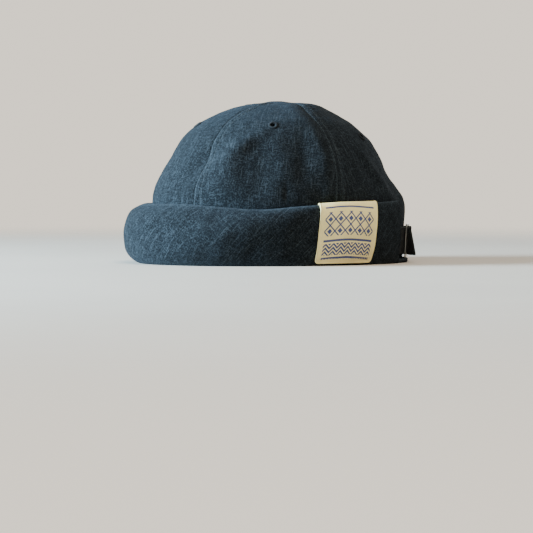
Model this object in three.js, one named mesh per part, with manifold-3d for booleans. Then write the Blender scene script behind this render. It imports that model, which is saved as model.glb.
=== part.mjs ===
// A brimless linen cap: a five-gore crown, a rolled-up cuff, a folded cloth label and a strap at the back.
// Millimetres, +Z up. The cap stands on the fold of its cuff, with its front towards -X.
import * as THREE from "three";
import { mergeVertices } from "three/addons/utils/BufferGeometryUtils.js";
import Module from "manifold-3d";

const wasm = await Module();
wasm.setup();

const CROWN_CLOTH = 1.6; // wall of the crown
const CUFF_CLOTH = 1.8; // wall of the rolled band
const LABEL_CLOTH = 1; // wall of the label
const STRAP_CLOTH = 1.6; // wall of the strap and its tab
const PIECE_GAP = 0.3; // clearance between pieces that are sewn or laid together
const PANEL_COLUMNS = 12; // facets across one gore
const PANEL_ROWS = 17; // facets from the rim to the top
const POUCH_SPREAD = 40; // degrees from the back over which the drawn-in cloth stands out
const SEAM_SINK = 0.8; // how far a seam lies below the gores beside it
const SEAM_FADE = { from: 126, to: 133 }; // heights between which the seams run out at the top
const FOLDS_START = { from: 46, to: 58 }; // heights between which the crown comes clear of the cuff
const FOLD_REACH = 30; // how deep a fold reaches through the cap before it dies out
const GATHERS = { count: 20, depth: 1.5, height: 54, reach: 13, spread: 24 };
const CUFF_ENDS = 33; // degrees from the back to each end of the cuff
const CUFF_COLUMNS = 50; // facets along the cuff
const CUFF_ROWS = 17; // facets round its section
const CUFF_TOP = 49; // height of the top edge in the profile below
const CUFF_FOLDS_LOW = { from: 3.2, to: 4.6 }; // profile rows where its folds begin
const CUFF_FOLDS_HIGH = { from: 7.6, to: 9 }; // and where they end
const LABEL = { angle: -66.2, width: 57, narrow: 4, lean: 6, shift: 3, radius: 107 };
const LABEL_LIES = { from: 3.5, edge: 8.9, to: 10.6 }; // cuff profile rows that it covers
const LABEL_COLUMNS = 8; // facets across the label
const LABEL_ROWS = 16; // facets from its lower edge, over the fold, to its hidden end
const STRAP = { bottom: 6.4, top: 29.6, columns: 34, rows: 3 };
const BUCKLE = { angle: -13, lift: 2.3, width: 24, bottom: 4.1, top: 31.9, plate: 1.4 };
const BUCKLE_RIMS = { post: 3, bar: 4, rail: 1.9 };
const HEM = { height: 3.6, depth: 4.6, ends: 31, round: 0.72, columns: 14, rows: 4 };
const EYELET = { hole: 1.25, rim: 3.3, height: 0.9, lift: 0.45, sides: 12 };

// Sections of the crown's outer face, from the rim to the top: how far each reaches to the front, to the
// back and to each side, and how far the drawn-in cloth at the back stands out from it.
const CROWN_SECTIONS = [
  { height: 0.8, front: 98, back: 103.5, side: 82, pouch: 9 },
  { height: 24, front: 98.5, back: 103, side: 83, pouch: 10.5 },
  { height: 44, front: 98, back: 102, side: 83, pouch: 13 },
  { height: 54, front: 97, back: 101.5, side: 82.5, pouch: 11.5 },
  { height: 63, front: 95, back: 100, side: 81.5, pouch: 6 },
  { height: 73, front: 90.5, back: 98, side: 79, pouch: 0.5 },
  { height: 86, front: 83, back: 93, side: 74.5, pouch: 0 },
  { height: 100, front: 74.5, back: 84.7, side: 67.5, pouch: 0 },
  { height: 113, front: 61.2, back: 71.3, side: 57, pouch: 0 },
  { height: 120, front: 49.3, back: 60, side: 47, pouch: 0 },
  { height: 126, front: 34.5, back: 49, side: 35, pouch: 0 },
  { height: 130.5, front: 19, back: 38, side: 22, pouch: 0 },
  { height: 133.4, front: -10, back: 10, side: 0, pouch: 0 },
];

// The gores between their seams, in degrees from the back, and the eyelet in each.
const PANELS = [
  { name: "front", from: 141, to: 219, eyelet: 181, eyeletHeight: 113 },
  { name: "left", from: -141, to: -71, eyelet: -103.5, eyeletHeight: 111.4 },
  { name: "back_left", from: -71, to: 0, eyelet: -34.8, eyeletHeight: 103.3 },
  { name: "back_right", from: 0, to: 71, eyelet: 34.8, eyeletHeight: 103.3 },
  { name: "right", from: 71, to: 141, eyelet: 103.5, eyeletHeight: 111.4 },
];

// Soft folds and dents of the crown: where each lies, how its long axis leans to the right of upright,
// half its length and width, and its depth (outwards is positive).
const CROWN_FOLDS = [
  { angle: -116.5, height: 91, lean: 40, length: 14, width: 6, depth: -0.7 },
  { angle: -120.8, height: 94, lean: 45, length: 26, width: 6.3, depth: 1.8 },
  { angle: -145, height: 80, lean: 28, length: 19, width: 8, depth: -2.7 },
  { angle: -125.4, height: 78.4, lean: 13, length: 26, width: 12.5, depth: 4.2 },
  { angle: -107, height: 76.5, lean: -1, length: 19, width: 10, depth: -1.6 },
  { angle: -86.7, height: 86.3, lean: 9, length: 14, width: 6.3, depth: -1.1 },
  { angle: -74.7, height: 83, lean: -9, length: 42, width: 10.5, depth: 4.2 },
  { angle: -87, height: 112.2, lean: 2, length: 15, width: 8.5, depth: 1 },
  { angle: -96.2, height: 60, lean: 0, length: 13, width: 1.8, depth: -0.6 },
  { angle: -50.8, height: 88.3, lean: -19, length: 20, width: 6, depth: -1.6 },
  { angle: -41, height: 75.5, lean: -35, length: 26, width: 6, depth: 1.8 },
  { angle: 46, height: 84, lean: 26, length: 24, width: 7, depth: -2 },
  { angle: 75, height: 83, lean: 9, length: 40, width: 10.5, depth: 3.2 },
  { angle: 96, height: 88, lean: -30, length: 20, width: 7, depth: -1.5 },
  { angle: 125, height: 78.4, lean: -13, length: 26, width: 12.5, depth: 3.2 },
  { angle: 157, height: 92, lean: -28, length: 20, width: 7, depth: -1.8 },
];

// The cuff's section, from the edge sewn to the rim, round the fold that stands on the ground, up the
// outside, over the top edge and down behind it: distance out from the crown and height, for the full roll
// at the front, the flat sides and the ends.
const CUFF_PROFILE = [
  { frontOut: 1.25, frontUp: 17, sideOut: 1.25, sideUp: 17, endOut: 1.25, endUp: 17 },
  { frontOut: 1.25, frontUp: 4, sideOut: 1.25, sideUp: 4, endOut: 1.25, endUp: 4 },
  { frontOut: 3.4, frontUp: 0.4, sideOut: 2.5, sideUp: 0.4, endOut: 2.7, endUp: 0.4 },
  { frontOut: 9.5, frontUp: 0.4, sideOut: 4.2, sideUp: 0.4, endOut: 5.2, endUp: 0.4 },
  { frontOut: 16.8, frontUp: 4.8, sideOut: 5.2, sideUp: 5.2, endOut: 6.8, endUp: 5.2 },
  { frontOut: 20.8, frontUp: 13, sideOut: 6.7, sideUp: 14, endOut: 6.9, endUp: 14 },
  { frontOut: 21.6, frontUp: 29, sideOut: 8.6, sideUp: 29, endOut: 6.9, endUp: 29 },
  { frontOut: 18.4, frontUp: 40, sideOut: 8.3, sideUp: 39.5, endOut: 7, endUp: 39.5 },
  { frontOut: 10.5, frontUp: 45.4, sideOut: 6.7, sideUp: 46.4, endOut: 6.2, endUp: 46.4 },
  { frontOut: 4.4, frontUp: 47.6, sideOut: 4.4, sideUp: 48, endOut: 4.4, endUp: 48 },
  { frontOut: 3, frontUp: 44.4, sideOut: 3.3, sideUp: 44.6, endOut: 3.3, endUp: 44.6 },
  { frontOut: 3.6, frontUp: 36, sideOut: 3.4, sideUp: 36, endOut: 3.4, endUp: 36 },
];

// How that section changes round the cap: shares of the full roll and of the end, and the height of its top.
const CUFF_ROUND = [
  { turn: 33, full: 0, end: 1, top: 51.5 },
  { turn: 48, full: 0, end: 0.3, top: 50.2 },
  { turn: 71, full: 0, end: 0, top: 49.4 },
  { turn: 90, full: 0.02, end: 0, top: 47.2 },
  { turn: 106, full: 0.12, end: 0, top: 45 },
  { turn: 122, full: 0.42, end: 0, top: 46.6 },
  { turn: 140, full: 0.74, end: 0, top: 49 },
  { turn: 160, full: 0.95, end: 0, top: 49.6 },
  { turn: 180, full: 1, end: 0, top: 49.6 },
];

// The slanting folds of the twisted cuff, given like those of the crown.
const CUFF_FOLDS = [
  { angle: -136, height: 33.5, lean: 61, length: 22, width: 9.5, depth: -1.5 },
  { angle: -116.7, height: 27, lean: 68, length: 40, width: 10.7, depth: 3.8 },
  { angle: -98.7, height: 27, lean: 67, length: 42, width: 13, depth: 3.5 },
  { angle: -150, height: 27.8, lean: 54, length: 22, width: 8.3, depth: -0.6 },
  { angle: -112, height: 12, lean: 58, length: 24, width: 7, depth: -1 },
  { angle: 118, height: 26, lean: -66, length: 38, width: 10.5, depth: 3.2 },
  { angle: 99, height: 27, lean: -66, length: 40, width: 13, depth: 3 },
  { angle: 138, height: 33, lean: -60, length: 22, width: 9.5, depth: -1.5 },
  { angle: 152, height: 25, lean: -48, length: 22, width: 9, depth: -0.8 },
];

// The strap and the tab, seen from above: distance from the crown at their lower and upper edges. The strap
// comes from under the cuff's left end, goes round the slide's middle bar and back over its near post, and
// its free end stands out. The tab comes from under the right end, and is folded round the slide's far post.
const STRAP_PATH = [
  { angle: -40, low: 4.1, high: 4.1 },
  { angle: -34, low: 3.9, high: 3.9 },
  { angle: -29, low: 2.4, high: 2.4 },
  { angle: -24, low: 1.2, high: 1.2 },
  { angle: -19.5, low: 1.15, high: 1.15 },
  { angle: -15.5, low: 1.15, high: 1.15 },
  { angle: -11.6, low: 1.3, high: 1.3 },
  { angle: -10.5, low: 3.05, high: 3.05 },
  { angle: -11.6, low: 4.85, high: 4.85 },
  { angle: -15, low: 5.2, high: 5.2 },
  { angle: -19, low: 5.8, high: 5.8 },
  { angle: -22, low: 7.8, high: 6.9 },
  { angle: -25, low: 11.6, high: 9 },
  { angle: -27.5, low: 16.6, high: 11.4 },
];
const TAB_PATH = [
  { angle: 40, low: 4.1, high: 4.1 },
  { angle: 34, low: 3.9, high: 3.9 },
  { angle: 29, low: 2.4, high: 2.4 },
  { angle: 22, low: 1.15, high: 1.15 },
  { angle: 10, low: 1.15, high: 1.15 },
  { angle: -1, low: 1.15, high: 1.15 },
  { angle: -5, low: 1.2, high: 1.2 },
  { angle: -7.9, low: 1.6, high: 1.6 },
  { angle: -9.1, low: 3.6, high: 3.6 },
  { angle: -7.9, low: 5.6, high: 5.6 },
  { angle: -5.4, low: 6.3, high: 6.3 },
  { angle: -2, low: 5.1, high: 5.1 },
  { angle: 2, low: 3.4, high: 3.4 },
  { angle: 6, low: 3.15, high: 3.15 },
];

const LINEN = new THREE.MeshStandardMaterial({ color: 0x2b3843, roughness: 0.95, metalness: 0 });
const LABEL_LINEN = new THREE.MeshStandardMaterial({ color: 0xbcac85, roughness: 0.9, metalness: 0 });
const WEBBING = new THREE.MeshStandardMaterial({ color: 0x1f211c, roughness: 0.9, metalness: 0 });
const NICKEL = new THREE.MeshStandardMaterial({ color: 0xb9b6ae, roughness: 0.35, metalness: 1 });

const radians = THREE.MathUtils.degToRad;
const bell = (x) => Math.exp(-x * x);
const { clamp, lerp, smoothstep } = THREE.MathUtils;

// Degrees from the back, between -180 and 180.
function fromBack(angle) {
  return THREE.MathUtils.euclideanModulo(THREE.MathUtils.radToDeg(angle) + 180, 360) - 180;
}

// A smooth curve through the rows of a table, column by column, at a row number that may be a fraction.
function rowsAt(rows, position) {
  const last = rows.length - 1;
  const index = clamp(Math.floor(position), 0, last - 1);
  const t = position - index;
  const at = {};
  for (const column of Object.keys(rows[0])) {
    const b = rows[index][column];
    const c = rows[index + 1][column];
    const a = index > 0 ? rows[index - 1][column] : 2 * b - c;
    const d = index < last - 1 ? rows[index + 2][column] : 2 * c - b;
    at[column] = b + 0.5 * t * (c - a + t * (2 * a - 5 * b + 4 * c - d + t * (3 * (b - c) + d - a)));
  }
  return at;
}

// The row number, with its fraction, at which a rising column takes a value.
function rowOf(rows, column, value) {
  let index = 0;
  while (index < rows.length - 2 && rows[index + 1][column] < value) {
    index += 1;
  }
  const low = rows[index][column];
  return index + (value - low) / (rows[index + 1][column] - low);
}

// The level direction that points straight out of the crown's oval section.
function levelOut(angle, section) {
  const half = (section.front + section.back) / 2;
  return new THREE.Vector3(Math.cos(angle) * section.side, Math.sin(angle) * half, 0).normalize();
}

// A point of the crown's outer face without its folds, at an angle from the back and a section number.
function crownForm(angle, position) {
  const section = rowsAt(CROWN_SECTIONS, position);
  const half = (section.front + section.back) / 2;
  const middle = (section.back - section.front) / 2;
  const pouch = section.pouch * bell(fromBack(angle) / POUCH_SPREAD);
  return new THREE.Vector3(middle + half * Math.cos(angle), section.side * Math.sin(angle), section.height)
    .addScaledVector(levelOut(angle, section), pouch);
}

// A point at a height and a distance out from the crown's face.
function offCrown(angle, height, distance) {
  const position = Math.max(0, rowOf(CROWN_SECTIONS, "height", height));
  const point = crownForm(angle, position);
  point.addScaledVector(levelOut(angle, rowsAt(CROWN_SECTIONS, position)), distance);
  return point.setZ(height);
}

// The direction straight out of a face that is given as a function of angle and position.
function faceOut(face, angle, position) {
  const step = 1e-3;
  const around = face(angle + step, position).sub(face(angle - step, position));
  const up = face(angle, position + step).sub(face(angle, position - step));
  const out = around.cross(up);
  return out.lengthSq() > 1e-16 ? out.normalize() : new THREE.Vector3(0, 0, 1);
}

// Each fold's middle and its three directions: along, across and out of the cloth.
function foldFrames(rows, pointAt) {
  return rows.map((row) => {
    const angle = radians(row.angle);
    const middle = pointAt(angle, row.height);
    const around = pointAt(angle + 0.01, row.height).sub(middle).normalize();
    const up = pointAt(angle, row.height + 1).sub(middle).normalize();
    const lean = radians(row.lean);
    const along = up.clone().multiplyScalar(Math.cos(lean)).addScaledVector(around, Math.sin(lean));
    const out = around.clone().cross(up).normalize();
    return { ...row, middle, along: along.normalize(), across: out.clone().cross(along), out };
  });
}

// How far the folds lift the cloth at a point.
function foldLift(frames, point) {
  let lift = 0;
  for (const fold of frames) {
    const from = point.clone().sub(fold.middle);
    const along = bell(from.dot(fold.along) / fold.length);
    const across = bell(from.dot(fold.across) / fold.width);
    lift += fold.depth * along * across * bell(from.dot(fold.out) / FOLD_REACH);
  }
  return lift;
}

const crownFolds = foldFrames(CROWN_FOLDS, (angle, height) => offCrown(angle, height, 0));

// A point of the crown's wall: share 0 is its outer face and share 1 its inner face.
function crownWall(angle, position, share, panel) {
  const out = faceOut(crownForm, angle, Math.min(position, CROWN_SECTIONS.length - 1.01));
  const point = crownForm(angle, position);
  const clear = smoothstep(point.z, FOLDS_START.from, FOLDS_START.to);
  const across = Math.abs((2 * (angle - panel.start)) / panel.turn - 1);
  const top = smoothstep(point.z, SEAM_FADE.from, SEAM_FADE.to);
  const pleat = GATHERS.depth * Math.cos(GATHERS.count * angle) * bell(fromBack(angle) / GATHERS.spread);
  const gather = pleat * bell((point.z - GATHERS.height) / GATHERS.reach);
  const lift = clear * (foldLift(crownFolds, point) + gather);
  return point.addScaledVector(out, lift - (1 - top) * SEAM_SINK * across ** 6 - share * CROWN_CLOTH);
}

// A closed cloth wall over a grid: pointAt(u, v, share) gives its outer face at share 0 and its inner face
// at 1, with u running to the right and v upwards as seen from outside.
function clothGeometry(columns, rows, pointAt) {
  const points = [];
  const index = (i, j, share) => (share * (columns + 1) + i) * (rows + 1) + j;
  for (const share of [0, 1]) {
    for (let i = 0; i <= columns; i += 1) {
      for (let j = 0; j <= rows; j += 1) {
        points.push(pointAt(i / columns, j / rows, share));
      }
    }
  }
  const faces = [];
  const quad = (a, b, c, d) => faces.push(a, b, c, a, c, d);
  for (let i = 0; i < columns; i += 1) {
    for (let j = 0; j < rows; j += 1) {
      quad(index(i, j, 0), index(i + 1, j, 0), index(i + 1, j + 1, 0), index(i, j + 1, 0));
      quad(index(i, j, 1), index(i, j + 1, 1), index(i + 1, j + 1, 1), index(i + 1, j, 1));
    }
    quad(index(i + 1, 0, 0), index(i, 0, 0), index(i, 0, 1), index(i + 1, 0, 1));
    quad(index(i, rows, 0), index(i + 1, rows, 0), index(i + 1, rows, 1), index(i, rows, 1));
  }
  for (let j = 0; j < rows; j += 1) {
    quad(index(0, j, 0), index(0, j + 1, 0), index(0, j + 1, 1), index(0, j, 1));
    quad(index(columns, j + 1, 0), index(columns, j, 0), index(columns, j, 1), index(columns, j + 1, 1));
  }
  const geometry = new THREE.BufferGeometry().setFromPoints(points).setIndex(faces);
  return withoutSlivers(mergeVertices(geometry, 1e-3));
}

// The same geometry without the triangles whose corners have merged.
function withoutSlivers(geometry) {
  const corners = Array.from(geometry.index.array);
  const kept = [];
  for (let i = 0; i < corners.length; i += 3) {
    const [a, b, c] = corners.slice(i, i + 3);
    if (a !== b && b !== c && c !== a) {
      kept.push(a, b, c);
    }
  }
  return geometry.setIndex(kept);
}

// One gore of the crown, from its rim to the point at the top, held half a gap back from its seams.
function panelGeometry(row) {
  const panel = { start: radians(row.from), turn: radians(row.to - row.from) };
  const top = CROWN_SECTIONS.length - 1;
  const facing = panel.start + panel.turn / 2;
  const bisector = new THREE.Vector3(Math.cos(facing), Math.sin(facing), 0);
  return clothGeometry(PANEL_COLUMNS, PANEL_ROWS, (u, v, share) => {
    const angle = panel.start + u * panel.turn;
    const point = crownWall(angle, v * top, share, panel);
    if (v === 1) {
      return point.addScaledVector(bisector, PIECE_GAP / 2 / Math.sin(panel.turn / 2));
    }
    const inward = u === 0 ? 1 : u === 1 ? -1 : 0;
    const along = crownForm(angle + 1e-3, v * top).sub(crownForm(angle - 1e-3, v * top)).normalize();
    return point.addScaledVector(along, (inward * PIECE_GAP) / 2);
  });
}

// The middle and direction of a gore's eyelet.
function eyeletFrame(row) {
  const angle = radians(row.eyelet);
  const position = rowOf(CROWN_SECTIONS, "height", row.eyeletHeight);
  const panel = { start: radians(row.from), turn: radians(row.to - row.from) };
  const out = faceOut(crownForm, angle, position);
  const turn = new THREE.Quaternion().setFromUnitVectors(new THREE.Vector3(0, 1, 0), out);
  return new THREE.Matrix4()
    .makeRotationFromQuaternion(turn)
    .setPosition(crownWall(angle, position, 0, panel));
}

// A ring with a rounded back, turned about its axis.
function eyeletGeometry() {
  const { hole, rim, height, lift, sides } = EYELET;
  const profile = [
    [hole, lift],
    [rim, lift],
    [rim - 0.2, lift + 0.55 * height],
    [(hole + rim) / 2, lift + height],
    [hole + 0.2, lift + 0.55 * height],
    [hole, lift],
  ].map(([x, y]) => new THREE.Vector2(x, y));
  const ring = new THREE.LatheGeometry(profile, sides);
  ring.deleteAttribute("normal");
  ring.deleteAttribute("uv");
  return withoutSlivers(mergeVertices(ring, 1e-3));
}

function toManifold(geometry) {
  const bare = new THREE.BufferGeometry().setAttribute("position", geometry.getAttribute("position"));
  const merged = withoutSlivers(mergeVertices(bare.setIndex(geometry.index), 1e-3));
  return new wasm.Manifold(
    new wasm.Mesh({
      numProp: 3,
      vertProperties: new Float32Array(merged.attributes.position.array),
      triVerts: new Uint32Array(merged.index.array),
    }),
  );
}

function fromManifold(solid) {
  const mesh = solid.getMesh();
  return new THREE.BufferGeometry()
    .setAttribute("position", new THREE.BufferAttribute(mesh.vertProperties, 3))
    .setIndex(new THREE.BufferAttribute(mesh.triVerts, 1));
}

// A gore with the hole of its eyelet cut through it.
function piercedPanel(row) {
  const drill = new THREE.CylinderGeometry(EYELET.hole, EYELET.hole, 12, EYELET.sides);
  drill.deleteAttribute("normal");
  drill.deleteAttribute("uv");
  drill.applyMatrix4(eyeletFrame(row));
  return fromManifold(toManifold(panelGeometry(row)).subtract(toManifold(drill)));
}

// The cuff's section at an angle: distance out from the crown and height, at a row number of the profile.
function cuffSection(angle, position) {
  const round = rowsAt(CUFF_ROUND, rowOf(CUFF_ROUND, "turn", Math.abs(fromBack(angle))));
  const row = rowsAt(CUFF_PROFILE, position);
  const side = 1 - round.full - round.end;
  const out = side * row.sideOut + round.full * row.frontOut + round.end * row.endOut;
  const up = side * row.sideUp + round.full * row.frontUp + round.end * row.endUp;
  return { out, up: up > 2 ? 2 + ((up - 2) * (round.top - 2)) / (CUFF_TOP - 2) : up };
}

// A point of the cuff at a distance in front of its middle layer, without its folds.
function cuffForm(angle, position, distance) {
  const step = 0.02;
  const at = cuffSection(angle, position);
  const before = cuffSection(angle, position - step);
  const after = cuffSection(angle, position + step);
  const length = Math.hypot(after.out - before.out, after.up - before.up);
  const out = at.out + (distance * (after.up - before.up)) / length;
  const up = at.up - (distance * (after.out - before.out)) / length;
  return offCrown(angle, Math.max(0, up), out);
}

// The outside of the cuff at a height, with the profile rows where it begins and ends.
const OUTSIDE = { from: 3.5, to: 8.5 };
const cuffOutside = (angle, height) =>
  cuffForm(angle, OUTSIDE.from + ((OUTSIDE.to - OUTSIDE.from) * height) / CUFF_TOP, CUFF_CLOTH / 2);
const cuffFolds = foldFrames(CUFF_FOLDS, cuffOutside);

// A point of the cuff with its slanting folds, which die out towards the ground and the top edge.
function cuffWall(angle, position, distance) {
  const point = cuffForm(angle, position, distance);
  const low = smoothstep(position, CUFF_FOLDS_LOW.from, CUFF_FOLDS_LOW.to);
  const high = 1 - smoothstep(position, CUFF_FOLDS_HIGH.from, CUFF_FOLDS_HIGH.to);
  const lift = low * high * foldLift(cuffFolds, point);
  const round = rowsAt(CROWN_SECTIONS, 1);
  return point.addScaledVector(levelOut(angle, round), lift);
}

function cuffGeometry() {
  const first = radians(CUFF_ENDS);
  const last = CUFF_PROFILE.length - 1;
  return clothGeometry(CUFF_COLUMNS, CUFF_ROWS, (u, v, share) => {
    const angle = first + u * (2 * Math.PI - 2 * first);
    return cuffWall(angle, v * last, (0.5 - share) * CUFF_CLOTH);
  });
}

// The label lies on the outside of the cuff, goes over its top edge and ends behind it.
function labelGeometry() {
  return clothGeometry(LABEL_COLUMNS, LABEL_ROWS, (u, v, share) => {
    const position = lerp(LABEL_LIES.from, LABEL_LIES.to, v);
    const rise = clamp((position - LABEL_LIES.from) / (LABEL_LIES.edge - LABEL_LIES.from), 0, 1) * CUFF_TOP;
    const width = LABEL.width - LABEL.narrow * (1 - rise / CUFF_TOP);
    const along = u * width - LABEL.width / 2 + rise * Math.tan(radians(LABEL.lean)) - LABEL.shift;
    const angle = radians(LABEL.angle) + along / LABEL.radius;
    const distance = CUFF_CLOTH / 2 + PIECE_GAP + (1 - share) * LABEL_CLOTH;
    const point = cuffWall(angle, position, distance);
    return point.setZ(Math.max(point.z, PIECE_GAP));
  });
}

// A band round the back that keeps its given distances from the crown.
function bandGeometry(path) {
  const last = path.length - 1;
  const middle = (position, v) => {
    const row = rowsAt(path, position);
    const height = lerp(STRAP.bottom, STRAP.top, v);
    return offCrown(radians(row.angle), height, lerp(row.low, row.high, v));
  };
  return clothGeometry(STRAP.columns, STRAP.rows, (u, v, share) => {
    const along = middle(u * last + 0.01, v).sub(middle(u * last - 0.01, v));
    const out = along.cross(new THREE.Vector3(0, 0, 1)).normalize();
    return middle(u * last, v).addScaledVector(out, (0.5 - share) * STRAP_CLOTH);
  });
}

// The slide: a plate with two slots, lying against the back.
function buckleGeometry() {
  const height = BUCKLE.top - BUCKLE.bottom;
  const slotWidth = (BUCKLE.width - BUCKLE_RIMS.bar) / 2 - BUCKLE_RIMS.post;
  const slotMiddle = (BUCKLE_RIMS.bar + slotWidth) / 2;
  let plate = toManifold(new THREE.BoxGeometry(BUCKLE.width, height, BUCKLE.plate));
  for (const side of [-1, 1]) {
    const slot = new THREE.BoxGeometry(slotWidth, height - 2 * BUCKLE_RIMS.rail, 4 * BUCKLE.plate);
    plate = plate.subtract(toManifold(slot.translate(side * slotMiddle, 0, 0)));
  }
  const angle = radians(BUCKLE.angle);
  const middle = offCrown(angle, (BUCKLE.bottom + BUCKLE.top) / 2, BUCKLE.lift + BUCKLE.plate / 2);
  const around = offCrown(angle + 0.05, middle.z, 0).sub(offCrown(angle - 0.05, middle.z, 0)).normalize();
  const rise = offCrown(angle, BUCKLE.top, 0).sub(offCrown(angle, BUCKLE.bottom, 0));
  const out = around.clone().cross(rise).normalize();
  const lay = new THREE.Matrix4().makeBasis(around, out.clone().cross(around), out).setPosition(middle);
  return fromManifold(plate).applyMatrix4(lay);
}

// The rolled hem along the rim at the back, flat below and rounded above.
function hemGeometry() {
  const ends = radians(HEM.ends);
  const near = PIECE_GAP;
  return clothGeometry(HEM.columns, HEM.rows, (u, v, share) => {
    const angle = lerp(-ends, ends, u);
    const round = Math.sin((v * Math.PI) / 2);
    const out = near + (HEM.depth - near) * Math.sqrt(1 - HEM.round * round ** 4);
    const height = v * HEM.height;
    return offCrown(angle, Math.max(height, 0.8), share === 0 ? out : near).setZ(height);
  });
}

const cap = new THREE.Group();
const add = (name, geometry, material) => {
  const mesh = new THREE.Mesh(geometry, material);
  mesh.name = name;
  cap.add(mesh);
};
for (const row of PANELS) {
  add("crown_panel_" + row.name, piercedPanel(row), LINEN);
  add("eyelet_" + row.name, eyeletGeometry().applyMatrix4(eyeletFrame(row)), LINEN);
}
add("cuff", cuffGeometry(), LINEN);
add("label", labelGeometry(), LABEL_LINEN);
add("back_hem", hemGeometry(), LINEN);
add("back_strap", bandGeometry(STRAP_PATH), WEBBING);
add("buckle_tab", bandGeometry(TAB_PATH), WEBBING);
add("buckle", buckleGeometry(), NICKEL);

// The middle of the footprint stands on the origin.
const middle = new THREE.Box3().setFromObject(cap, true).getCenter(new THREE.Vector3());
for (const piece of cap.children) {
  piece.position.x -= middle.x;
  piece.position.y -= middle.y;
}

export default cap;
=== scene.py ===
# %% [markdown]
# # A linen cap with a rolled-up cuff
# This lesson dresses the solids of a brimless cap: a crown of five sewn gores, a bias-cut cuff that is
# rolled up round the rim, a cloth label folded over the cuff, and a strap that draws the back in.
# Each piece is a surface worked out with numpy, in the same place as its solid, and the frame comes first
# because every later size is measured against it.

# %% Load the frame
import math

import bpy
import numpy as np
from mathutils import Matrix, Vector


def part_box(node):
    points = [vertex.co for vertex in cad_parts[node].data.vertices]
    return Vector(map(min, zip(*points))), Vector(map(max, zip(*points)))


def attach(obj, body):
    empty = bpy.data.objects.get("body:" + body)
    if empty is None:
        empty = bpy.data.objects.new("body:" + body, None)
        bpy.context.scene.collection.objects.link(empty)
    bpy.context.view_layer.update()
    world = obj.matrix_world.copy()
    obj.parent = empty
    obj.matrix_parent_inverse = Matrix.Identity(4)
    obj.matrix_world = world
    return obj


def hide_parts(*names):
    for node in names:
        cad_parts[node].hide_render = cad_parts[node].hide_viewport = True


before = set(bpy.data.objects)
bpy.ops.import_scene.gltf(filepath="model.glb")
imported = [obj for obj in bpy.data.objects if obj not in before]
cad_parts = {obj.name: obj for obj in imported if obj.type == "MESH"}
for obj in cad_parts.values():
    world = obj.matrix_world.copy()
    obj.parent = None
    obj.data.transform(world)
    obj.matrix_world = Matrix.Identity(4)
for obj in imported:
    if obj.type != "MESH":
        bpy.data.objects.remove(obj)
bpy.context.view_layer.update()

# %% [markdown]
# ## The camera
# The photograph looks at the wearer's left side, turned a little towards the front, from just above the
# ground. A long lens far away keeps the cap's outline close to a plain elevation. The picture is 533 pixels
# square, so the focal length in pixels turns into millimetres on a 36 mm sensor.

# %% Camera
AZIMUTH = math.radians(-13.5)
DISTANCE, EYE_HEIGHT, ASIDE = 1.750, 0.070, -0.0021
FOCAL_PIXELS, HORIZON_PIXEL, PICTURE, SENSOR = 2108, 177.7, 533, 36

towards = np.array([math.sin(AZIMUTH), -math.cos(AZIMUTH)])
rightwards = np.array([math.cos(AZIMUTH), math.sin(AZIMUTH)])
eye = DISTANCE * towards + ASIDE * rightwards
camera_data = bpy.data.cameras.new("camera")
camera_data.sensor_width = SENSOR
camera_data.lens = SENSOR * FOCAL_PIXELS / PICTURE
camera = bpy.data.objects.new("camera", camera_data)
camera.location = (eye[0], eye[1], EYE_HEIGHT)
look_down = math.atan((PICTURE / 2 - HORIZON_PIXEL) / FOCAL_PIXELS)
camera.rotation_euler = (math.pi / 2 - look_down, 0, AZIMUTH)
bpy.context.scene.collection.objects.link(camera)
bpy.context.scene.camera = camera
print("lens", round(camera_data.lens, 1), "mm at", [round(v, 3) for v in camera.location])

# %% [markdown]
# ## Curves through short tables
# Cloth has few exact forms, so each shape here is a short table of sections with a smooth curve through its
# rows. The Catmull-Rom curve passes through every row and needs no handles, and numpy evaluates it for a
# whole grid of row numbers at once.

# %% Curves through tables
def rows_at(table, position):
    """Catmull-Rom curve through the table's rows at fractional row numbers: each value is a cubic between two
    rows whose slopes are half the difference of the rows on either side."""
    position = np.asarray(position, float)
    last = len(table) - 1
    index = np.clip(np.floor(position).astype(int), 0, last - 1)
    t = (position - index)[..., None]
    b, c = table[index], table[index + 1]
    a = np.where((index > 0)[..., None], table[np.maximum(index - 1, 0)], 2 * b - c)
    d = np.where((index < last - 1)[..., None], table[np.minimum(index + 2, last)], 2 * c - b)
    return b + 0.5 * t * (c - a + t * (2 * a - 5 * b + 4 * c - d + t * (3 * (b - c) + d - a)))


def row_of(column, value):
    """Fractional row number at which a rising column takes a value, by straight lines between its rows."""
    return np.interp(value, column, np.arange(len(column)))


def bell(x):
    """Bell curve: e to the minus x squared."""
    return np.exp(-np.square(x))


def bells(x, rows):
    """Sum of bell curves, one for each row of place, half width and share."""
    return sum(share * bell((x - place) / width) for place, width, share in rows)


def ease(x, low, high):
    """Smooth step from 0 at low to 1 at high: t squared times three minus two t."""
    t = np.clip((np.asarray(x, float) - low) / (high - low), 0, 1)
    return t * t * (3 - 2 * t)


def from_back(angle):
    """Degrees from the back of the cap, between -180 and 180."""
    return (np.degrees(angle) + 180) % 360 - 180


print("half way through rows 0, 4 and 4:", rows_at(np.array([[0.0], [4.0], [4.0]]), 0.5)[0])

# %% [markdown]
# ## The crown's form
# Seen from above every section of the crown is an oval. The table gives, from the rim to the top, how far
# the oval reaches to the front, the back and each side, and how far the cloth that the strap draws in stands
# out at the back. One function of an angle and a row number then gives any point of the outer face.

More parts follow.
